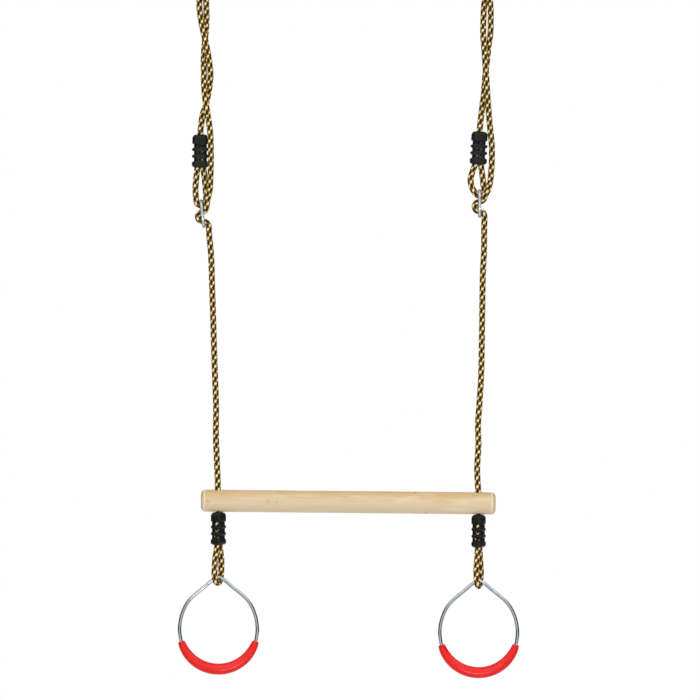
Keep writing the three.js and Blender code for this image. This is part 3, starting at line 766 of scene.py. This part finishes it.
nylon = Finish(bpy.data.materials.new("black_nylon"))
cloud = nylon.noise(nylon.place(), 170.0, 3.0)
fleck = nylon.noise(nylon.place(), 4200.0, 3.0, 0.6)
scratch = nylon.noise(nylon.place((1.0, 1.0, 0.16)), 1500.0, 3.0, 0.7)
scuff = nylon.step(scratch + cloud * 0.35, 0.74, 0.92)
_, depth, _ = nylon.split(nylon.place())
parting = 1 - nylon.step(abs(depth), *NYLON_PARTING)
colour = nylon.mix(scuff * 0.5, nylon.mix(cloud, NYLON_DARK, NYLON_PALE), NYLON_SCUFF)
nylon_material = nylon.shade(
    Base_Color=colour, Roughness=0.27 + cloud * 0.14 + scuff * 0.15, Specular_IOR_Level=0.19,
    Normal=nylon.bump(fleck * 0.3 + scratch * 0.25 + parting * 0.7, NYLON_RELIEF))


def quarter_turn(steps):
    """Angles from nothing to a right angle, in even steps."""
    return [step / steps * math.pi / 2 for step in range(steps + 1)]


def rounded_outline(middle, half_width, half_height, corner, steps):
    """Points round a rectangle with rounded corners."""
    outline = []
    for quarter in range(4):
        sign_x = 1 if quarter in (0, 3) else -1
        sign_y = 1 if quarter < 2 else -1
        for step in range(steps + 1):
            angle = (quarter + step / steps) * math.pi / 2
            outline.append((middle[0] + sign_x * (half_width - corner) + corner * math.cos(angle),
                            middle[1] + sign_y * (half_height - corner) + corner * math.sin(angle)))
    return outline


def clamp_ring(depth, size, inset):
    """Points round the clamp at a depth under its top."""
    x, y = size[0] / 2 - inset, size[1] / 2 - inset
    outline = rounded_outline((0, 0), x, y, min(CLAMP_CORNER, x, y), CORNER_STEPS)
    return [(*point, -depth) for point in outline]


def clamp_rings():
    """The outside of a clamp as rings of points, from the top of its dome to its foot."""
    rings = []
    for angle in quarter_turn(DOME_STEPS):
        depth = DOME_HEIGHT * (1 - math.cos(angle))
        rings.append(clamp_ring(depth, CAP_SIZE, DOME_INSET * (1 - math.sin(angle))))
    for angle in quarter_turn(EDGE_STEPS):
        depth = CAP_HEIGHT - EDGE * (1 - math.sin(angle))
        rings.append(clamp_ring(depth, CAP_SIZE, EDGE * (1 - math.cos(angle))))
    rings.append(clamp_ring(CAP_HEIGHT, NECK_SIZE, -EDGE / 2))
    rings.append(clamp_ring(CAP_HEIGHT + EDGE / 2, NECK_SIZE, 0))
    for index in range(SWELLS):
        middle = FIRST_RIB_DEPTH + index * RIB_PITCH
        steps = SWELL_STEPS // 2 if index == SWELLS - 1 else SWELL_STEPS
        for step in range(steps + 1):
            offset = -RIB_NOSE * math.cos(step / SWELL_STEPS * math.pi)
            swells = [math.sqrt(max(0.0, 1 - (offset / nose) ** 2)) for nose in (RIB_NOSE, RIB_FACE_NOSE)]
            size = [neck + (rim - neck) * swell for neck, rim, swell in zip(NECK_SIZE, RIB_SIZE, swells)]
            rings.append(clamp_ring(middle + offset, size, 0))
    for angle in quarter_turn(FOOT_STEPS):
        depth = middle + RIB_NOSE + (CLAMP_HEIGHT - middle - RIB_NOSE) * math.sin(angle)
        rings.append(clamp_ring(depth, RIB_SIZE, FOOT_INSET * (1 - math.cos(angle))))
    return rings


def window_cutters():
    """The windows of all three necks on all four faces, as one set of rounded prisms."""
    points, faces = [], []
    swell_middles = [FIRST_RIB_DEPTH + index * RIB_PITCH for index in range(SWELLS)]
    neck_tops = [CAP_HEIGHT] + [middle + RIB_NOSE for middle in swell_middles[:-1]]
    for neck_top, middle in zip(neck_tops, swell_middles):
        depth = (neck_top + middle - RIB_NOSE) / 2
        for sideways in (-WINDOW_SPREAD / 2, WINDOW_SPREAD / 2):
            outline = rounded_outline(
                (sideways, -depth), WINDOW_SIZE[0] / 2, WINDOW_SIZE[1] / 2, WINDOW_CORNER, WINDOW_STEPS)
            for face in (-1, 1):
                for inner, turned in ((BORE_SPREAD / 4, False), (BORE_SPREAD / 2, True)):
                    first = len(points)
                    for out in (face * inner, face * RIB_SIZE[0]):
                        points += [(out, across, height) if turned else (across, out, height)
                                   for across, height in outline]
                    order = -1 if (face > 0) != turned else 1
                    faces += [[first + corner for corner in sides[::order]]
                              for sides in sleeve_faces(2, len(outline))]
    return add_mesh("windows", points, faces, nylon_material)


def bore_cutter(name, route, mouths):
    """A bore as a round plug, flared at its open ends."""
    line = smooth_line(route, MM)
    normals, crosses = carried_frames(line)
    reach = np.full((len(line), BORE_POINTS), BORE_RADIUS)
    for mouth, outwards in mouths:
        inside = np.clip((line[:, 2] - mouth) * outwards / BORE_FLARE + 1, 0, None)
        reach += BORE_FLARE * inside[:, None] ** 2
    points = sleeve_points(line, normals, crosses, reach)
    return add_mesh(name, points, sleeve_faces(len(line), BORE_POINTS), nylon_material)


def carve(piece, cutters):
    """Cuts the cutters out of a piece, takes them away and marks the sharp edges."""
    for cutter in cutters:
        cut = piece.modifiers.new("cut", "BOOLEAN")
        cut.operation = "DIFFERENCE"
        cut.solver = "EXACT"
        cut.object = cutter
    carved = bpy.data.meshes.new_from_object(piece.evaluated_get(bpy.context.evaluated_depsgraph_get()))
    piece.modifiers.clear()
    piece.data = carved
    for cutter in cutters:
        bpy.data.objects.remove(cutter)
    carved.set_sharp_from_angle(angle=SHARP)


rings = clamp_rings()
points = [point for ring in rings[::-1] for point in ring]
pattern = add_mesh("clamp_pattern", points, sleeve_faces(len(rings), len(rings[0])), nylon_material)
bore_x = BORE_SPREAD / 2
bore_end = -CLAMP_HEIGHT - OVERRUN
through_route = [
    (0, 0, OVERRUN), (0, 0, -CROSSOVER[0]), (-bore_x / 2, 0, -sum(CROSSOVER) / 2),
    (-bore_x, 0, -CROSSOVER[1]), (-bore_x, 0, bore_end),
]
blind_route = [(bore_x, 0, -BLIND_DEPTH), (bore_x, 0, bore_end)]
carve(pattern, [
    bore_cutter("through_bore", through_route, [(0, 1), (-CLAMP_HEIGHT, -1)]),
    bore_cutter("blind_bore", blind_route, [(-CLAMP_HEIGHT, -1)]),
    window_cutters(),
])
for name, (top, turn, lean, body) in CLAMPS.items():
    clamp = bpy.data.objects.new(f"{name}_body", pattern.data.copy())
    scene.collection.objects.link(clamp)
    clamp.matrix_world = (Matrix.Translation(Vector(top) * MM) @ Matrix.Rotation(math.radians(lean), 4, "Y")
                          @ Matrix.Rotation(math.radians(turn), 4, "Z"))
    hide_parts(name)
    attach(clamp, body)
bpy.data.objects.remove(pattern)


# The two adjusters: 5.5 mm steel wire bent to an 8 and welded at its waist, galvanised. The
# rope is threaded through both eyes and holds by its own grip, which rubs the waist bright.
ADJUSTER_WIRE = 5.5 * MM
UPPER_EYE = (22.5 * MM, 27.5 * MM)
LOWER_EYE = (16.5 * MM, 16.5 * MM)
EYE_STEPS = 96
WAIST_SWELL = 0.2 * MM
WAIST_HALF = 2.5 * MM
WAIST_RUB = (2.5 * MM, 6 * MM)
TOP_RUB = (-4 * MM, MM)
TOP_RUB_SHARE = 0.6


def adjuster_rub(zinc):
    """Bright at the waist, where the rope slides, and less at the top, where the eye loop bears."""
    _, _, up = zinc.split(zinc.place())
    waist = 1 - zinc.step(abs(up + UPPER_EYE[1]), *WAIST_RUB)
    return (waist + zinc.step(up, *TOP_RUB) * TOP_RUB_SHARE).clamp()


adjuster_zinc = galvanised("adjuster_zinc", adjuster_rub)
for side in ROUTES:
    points, faces = [], []
    turns = full_turn(EYE_STEPS)
    for (width, height), top in ((UPPER_EYE, 0.0), (LOWER_EYE, -UPPER_EYE[1])):
        down = height / 2 * (1 - np.cos(turns))
        line = np.stack([0 * turns, width / 2 * np.sin(turns), top - down], axis=1)
        waist = np.exp(-((line[:, 2] + UPPER_EYE[1]) ** 2 + line[:, 1] ** 2) / WAIST_HALF ** 2)
        rings = wire_points(line, (1.0, 0.0, 0.0), ADJUSTER_WIRE / 2 + WAIST_SWELL * waist)
        faces += [[len(points) + corner for corner in face]
                  for face in sleeve_faces(EYE_STEPS, WIRE_POINTS, closed=True)]
        points += rings.tolist()
    adjuster = add_mesh(f"{side}_adjuster_wire", points, faces, adjuster_zinc)
    adjuster.matrix_world = (Matrix.Translation(Vector(ROUTES[side]["adjuster"]) * MM)
                             @ Matrix.Rotation(ROUTES[side]["adjuster_lean"], 4, "Y"))
    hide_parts(f"{side}_adjuster")
    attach(adjuster, f"{side}_adjusting")


# The bar: a pale hardwood rod, 37.5 mm thick, turned, sanded round at its ends, drilled upright
# for the ropes and lightly oiled. Its grain runs lengthwise, with small knots and marks in front.
BAR_LENGTH = 500 * MM
BAR_RADIUS = 18.75 * MM
BAR_EDGE = 7.5 * MM
BAR_PLACE = (5.5 * MM, 0, -944.4 * MM)
BAR_SLOPE = math.radians(0.55)
BAR_HOLE_RADIUS = 6.5 * MM
BAR_HOLE_INSET = 28.5 * MM
HOLE_CHAMFER = 1.2 * MM
HOLE_FLARE = 0.6
HOLE_POINTS = 48
BAR_POINTS = 96
BAR_ROWS = 60
BAR_EDGE_ROWS = 11
BAR_END_SHARES = (0.35, 0.7)
TOOL_DEPTH = 0.05 * MM
TOOL_WAVES = 91
TOOL_FADE = 10 * MM
WOOD_PALE = (0.73, 0.605, 0.415, 1.0)
WOOD_TAN = (0.66, 0.450, 0.200, 1.0)
WOOD_LATE = (0.56, 0.36, 0.16, 1.0)
WOOD_END = (0.60, 0.42, 0.22, 1.0)
# Pale sanded wood for the bare patches, and the colour of the painted highlight near the ends
WOOD_SANDED_AND_HIGHLIGHT = (0.88, 0.78, 0.60, 1.0)
WOOD_RELIEF = 0.06 * MM
KNOT = (0.42, 0.24, 0.09, 1.0)

# The yearly rings run round a pith behind and under the bar, which leans and wanders along it.
# The tan wood is towards the top. A pale band round each end, where its rounding starts, is a
# painted highlight, and its end grain is darker.
PITH = (34 * MM, -52 * MM)
YEAR_GAP = 3.4 * MM
GRAIN_LEAN = 0.035
GRAIN_WANDER = 12 * MM
TAN_EDGE = (-4 * MM, 17 * MM)
TAN_WANDER = 20 * MM
END_HIGHLIGHT_BAND = (4.0 * MM, 6.2 * MM, 8.4 * MM)
END_BAND = (0.4 * MM, 3.4 * MM)

# Each knot or mark: its places along the bar and above its middle, its radius and its strength
KNOTS = (
    (-0.2380, -0.0005, 0.0045, 0.45), (-0.1363, 0.0002, 0.0048, 0.35), (-0.1210, -0.0008, 0.0024, 0.6),
    (0.1325, -0.0168, 0.0019, 1.6), (0.1134, 0.0170, 0.0019, 1.3), (0.1134, -0.0174, 0.0014, 0.8),
)
KNOT_SQUEEZE = 0.75
KNOT_FADE = -12 * MM

wood = Finish(bpy.data.materials.new("oiled_hardwood"))
along, depth, up = wood.split(wood.place())
wander = wood.noise(wood.place((5.0, 26.0, 26.0)), 1.0, 3.0)
patch = wood.noise(wood.place((9.0, 45.0, 45.0)), 1.0, 2.0)
fibre = wood.noise(wood.place((22.0, 900.0, 900.0)), 1.0, 4.0, 0.65)
pore = wood.step(wood.noise(wood.place((60.0, 2600.0, 2600.0)), 1.0, 2.0), 0.60, 0.72)
in_front = 1 - wood.step(depth, KNOT_FADE, 0.0)
knots = 0.0
for knot_x, knot_z, half, strength in KNOTS:
    away = (((along - knot_x) * KNOT_SQUEEZE) ** 2 + (up - knot_z) ** 2).math("SQRT")
    knots = knots + (1 - wood.step(away, 0.0, half)) * in_front * strength
over_pith = up - PITH[1] + along * GRAIN_LEAN + wander * GRAIN_WANDER
out = ((depth - PITH[0]) ** 2 + over_pith ** 2).math("SQRT")
year = (out / YEAR_GAP + knots * 0.5).math("FRACT")
late = wood.step(year, 0.45, 0.92) * (1 - wood.step(year, 0.94, 1.0))
# The colour turns tan towards the top, along an edge that wanders with the patches
tan_towards_top = wood.step(up + (patch - 0.5) * TAN_WANDER, *TAN_EDGE)
colour = wood.mix(tan_towards_top * 0.75 + patch * 0.2, WOOD_PALE, WOOD_TAN)
colour = wood.mix(late * 0.30 * (patch + 0.3), colour, WOOD_LATE)
colour = wood.mix((fibre - 0.45).clamp() * 0.9, colour, WOOD_LATE)
bare = wood.step(wood.noise(wood.place((13.0, 70.0, 70.0)), 1.0, 3.0), 0.50, 0.72)
colour = wood.mix(bare * 0.40, colour, WOOD_SANDED_AND_HIGHLIGHT)
colour = wood.mix(pore * 0.18, colour, WOOD_LATE)
from_end = BAR_LENGTH / 2 - abs(along)
# A painted highlight: a pale band round each end where its rounding starts
band_start, band_middle, band_end = END_HIGHLIGHT_BAND
end_highlight = wood.step(from_end, band_start, band_middle) * (1 - wood.step(from_end, band_middle, band_end))
colour = wood.mix(end_highlight * 0.65, colour, WOOD_SANDED_AND_HIGHLIGHT)
end_grain = 1 - wood.step(from_end, *END_BAND)
colour = wood.mix(end_grain * 0.6, colour, WOOD_END)
colour = wood.mix(knots.clamp(), colour, KNOT)
wood_material = wood.shade(
    Base_Color=colour, Roughness=0.50 + fibre * 0.16 - late * 0.08, Specular_IOR_Level=0.35,
    Coat_Weight=0.08, Coat_Roughness=0.35,
    Normal=wood.bump(fibre * 0.5 + pore * -0.5 + late * 0.15, WOOD_RELIEF))

end_radius = BAR_RADIUS - BAR_EDGE
profile = [(0.0, -BAR_LENGTH / 2)]
profile += [(end_radius * share, -BAR_LENGTH / 2) for share in BAR_END_SHARES]
for angle in np.linspace(0, math.pi / 2, BAR_EDGE_ROWS):
    x = BAR_EDGE - BAR_LENGTH / 2 - BAR_EDGE * math.cos(angle)
    profile.append((end_radius + BAR_EDGE * math.sin(angle), x))
edge_x = profile[-1][1]
for x in np.linspace(edge_x, 0, BAR_ROWS // 2 + 1)[1:]:
    wave = TOOL_DEPTH * (0.5 - 0.5 * math.cos(x * TOOL_WAVES))
    profile.append((BAR_RADIUS - wave * (1 - math.exp((edge_x - x) / TOOL_FADE)), x))
profile += [(radius, -x) for radius, x in profile[-2::-1]]
turns = full_turn(BAR_POINTS)
points = [(profile[0][1], 0.0, 0.0)]
for radius, x in profile[1:-1]:
    points += [(x, radius * math.cos(turn), radius * math.sin(turn)) for turn in turns]
points.append((profile[-1][1], 0.0, 0.0))
rows = len(profile) - 2
faces = [[1 + corner for corner in face] for face in sleeve_faces(rows, BAR_POINTS)[:-2]]
last = 1 + (rows - 1) * BAR_POINTS

# Each end closes on a point in its middle
for point in range(BAR_POINTS):
    beside = (point + 1) % BAR_POINTS
    faces += [[0, 1 + beside, 1 + point], [len(points) - 1, last + point, last + beside]]
bar = add_mesh("bar_rod", points, faces, wood_material)
holes = []
for sign in (-1, 1):
    hole_x = sign * (BAR_LENGTH / 2 - BAR_HOLE_INSET)
    top = BAR_RADIUS + OVERRUN
    levels = (top, BAR_RADIUS - HOLE_CHAMFER, HOLE_CHAMFER - BAR_RADIUS, -top)
    beyond = np.array((OVERRUN + HOLE_CHAMFER, 0.0, 0.0, OVERRUN + HOLE_CHAMFER))
    line = np.array([(hole_x, 0.0, level) for level in levels])
    frames = (np.ones((len(line), 1)) * np.array(axis, float) for axis in ((-1, 0, 0), (0, 1, 0)))
    reach = (BAR_HOLE_RADIUS + HOLE_FLARE * beyond)[:, None] * np.ones(HOLE_POINTS)
    points = sleeve_points(line, *frames, reach)
    holes.append(add_mesh("hole", points, sleeve_faces(len(line), HOLE_POINTS), wood_material))
carve(bar, holes)
bar.matrix_world = Matrix.Translation(BAR_PLACE) @ Matrix.Rotation(BAR_SLOPE, 4, "Y")
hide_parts("bar")
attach(bar, "bar")


# The two gym ring wires: 6 mm round steel bent to a teardrop, its ends meeting inside the grip,
# and zinc plated bright. The apex is rubbed where the loop hangs on it.
RING_RADIUS = 66 * MM
RING_SHOULDER_DROP = 90 * MM
RING_WIRE = 6 * MM
GRIP_START = math.radians(16.5)
RING_LINE_STEP = 1.5 * MM
BOTTOM_STEPS = 16
RING_PLACES = {"left": (-214.9, 0, -1072.135), "right": (227.0, 0, -1078.076)}
STEEL_DARK = (0.22, 0.24, 0.26, 1.0)
STEEL_PALE = (0.50, 0.54, 0.57, 1.0)
STEEL_RELIEF = 0.002 * MM
APEX_RUB = (-9 * MM, -2 * MM)

# The shoulder from the apex down, as shares of the radius across and of the shoulder's drop
RING_SHOULDER_SHARES = [
    (0, 0), (0.035, 0.0035), (0.07, 0.0155), (0.19, 0.075), (0.3, 0.147), (0.5, 0.265),
    (0.68, 0.378), (0.806, 0.49), (0.889, 0.603), (0.944, 0.717), (0.985, 0.85),
]

steel = Finish(bpy.data.materials.new("bright_steel"))
_, _, up = steel.split(steel.place())
cloud = steel.noise(steel.place(), 130.0, 4.0, 0.6)
drawn = steel.noise(steel.place((1.0, 3.0, 1.0)), 1700.0, 3.0, 0.6)
tarnish = steel.step(steel.noise(steel.place(), 55.0, 5.0, 0.7), 0.52, 0.75)
apex = steel.step(up, *APEX_RUB)
colour = steel.mix((cloud * 0.8 + 0.25 - tarnish * 0.35).clamp(), STEEL_DARK, STEEL_PALE)
steel_material = steel.shade(
    Base_Color=colour, Metallic=0.96 + cloud * 0.04,
    Roughness=0.07 + cloud * 0.08 + tarnish * 0.08 + apex * drawn * 0.2,
    Normal=steel.bump(drawn * 0.1 + cloud, STEEL_RELIEF))

half_circle = [0.0] + [GRIP_START + (math.pi - 2 * GRIP_START) * step / BOTTOM_STEPS
                       for step in range(BOTTOM_STEPS + 1)] + [math.pi]
shoulder = [(across * RING_RADIUS, 0.0, -down * RING_SHOULDER_DROP) for across, down in RING_SHOULDER_SHARES]
bottom = [(RING_RADIUS * math.cos(turn), 0.0, -RING_RADIUS * math.sin(turn) - RING_SHOULDER_DROP)
          for turn in half_circle]
other_shoulder = [(-x, y, z) for x, y, z in shoulder[:0:-1]]
ring_line = smooth_line(shoulder + bottom + other_shoulder, RING_LINE_STEP, closed=True)
points = wire_points(ring_line, (0.0, 1.0, 0.0), np.full(len(ring_line), RING_WIRE / 2))
faces = sleeve_faces(len(ring_line), WIRE_POINTS, closed=True)
for side, apex_place in RING_PLACES.items():
    hoop = add_mesh(f"{side}_ring_hoop", points, faces, steel_material)
    hoop.location = Vector(apex_place) * MM
    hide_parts(f"{side}_ring_wire")
    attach(hoop, f"{side}_gym_ring")


# The two grips: bright red polyethylene, moulded as a sleeve that swells to 19 mm and slid on
# the wire before it was closed. A fine parting line runs round the outer and the inner curve.
GRIP_THICKNESS = 19 * MM
GRIP_END_THICKNESS = 9.9 * MM
GRIP_BORE_RADIUS = 3.35 * MM
GRIP_ROWS = 128
GRIP_BORE_ROWS = 16
GRIP_POINTS = 40
GRIP_LIP = 0.8 * MM
GRIP_SHARP = math.radians(60)
RED_DEEP = (0.66, 0.003, 0.003, 1.0)
RED_BRIGHT = (0.86, 0.007, 0.004, 1.0)
RED_SCUFF = (0.90, 0.16, 0.14, 1.0)
RED_RELIEF = 0.03 * MM
RED_PARTING = (0.06 * MM, 0.26 * MM)
SCUFF_TOP = (-152 * MM, -140 * MM)

red = Finish(bpy.data.materials.new("red_polyethylene"))
_, depth, up = red.split(red.place())
cloud = red.noise(red.place(), 42.0, 3.0)
peel = red.noise(red.place(), 950.0, 2.0)
scratch = red.noise(red.place((0.25, 1.0, 1.0)), 900.0, 3.0, 0.7)
scuff = red.step(scratch + cloud * 0.3, 0.72, 0.90) * (1 - red.step(up, *SCUFF_TOP))
parting = 1 - red.step(abs(depth), *RED_PARTING)
colour = red.mix(scuff * 0.22, red.mix(cloud * 0.9 + 0.2, RED_DEEP, RED_BRIGHT), RED_SCUFF)
red_material = red.shade(
    Base_Color=colour, Roughness=0.22 + cloud * 0.08 + scuff * 0.2, Specular_IOR_Level=0.33,
    Normal=red.bump(peel * 0.2 + scratch * 0.10 + parting * 0.8, RED_RELIEF))

share = (1 - np.cos(math.pi * np.arange(GRIP_ROWS + 1) / GRIP_ROWS)) / 2
turn = GRIP_START + (math.pi - 2 * GRIP_START) * share
swell = np.sqrt(np.clip(np.sin(math.pi * share), 0, None))
thickness = GRIP_END_THICKNESS + (GRIP_THICKNESS - GRIP_END_THICKNESS) * swell
from_tip = RING_RADIUS * np.minimum(turn - GRIP_START, math.pi - GRIP_START - turn)
lip = np.clip(1 - from_tip / GRIP_LIP, 0, 1)
outer = thickness / 2 - GRIP_LIP * (1 - np.sqrt(1 - lip ** 2))
turn = np.concatenate([turn[::GRIP_ROWS // GRIP_BORE_ROWS], turn[::-1]])
reach = np.concatenate([np.full(GRIP_BORE_ROWS + 1, GRIP_BORE_RADIUS), outer[::-1]])
outwards = np.stack([np.cos(turn), 0 * turn, -np.sin(turn)], axis=1)
grip_line = RING_RADIUS * outwards - np.array([0.0, 0.0, RING_SHOULDER_DROP])
sideways = np.ones((len(turn), 1)) * np.array([0.0, 1.0, 0.0])
points = sleeve_points(grip_line, outwards, sideways, reach[:, None] * np.ones(GRIP_POINTS))
faces = sleeve_faces(len(turn), GRIP_POINTS, closed=True)
for side, apex_place in RING_PLACES.items():
    grip = add_mesh(f"{side}_grip_sleeve", points, faces, red_material)
    grip.data.set_sharp_from_angle(angle=GRIP_SHARP)
    grip.location = Vector(apex_place) * MM
    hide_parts(f"{side}_ring_grip")
    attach(grip, f"{side}_gym_ring")


size = [[list(corner) for corner in cad_box], [list(corner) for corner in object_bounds()]]
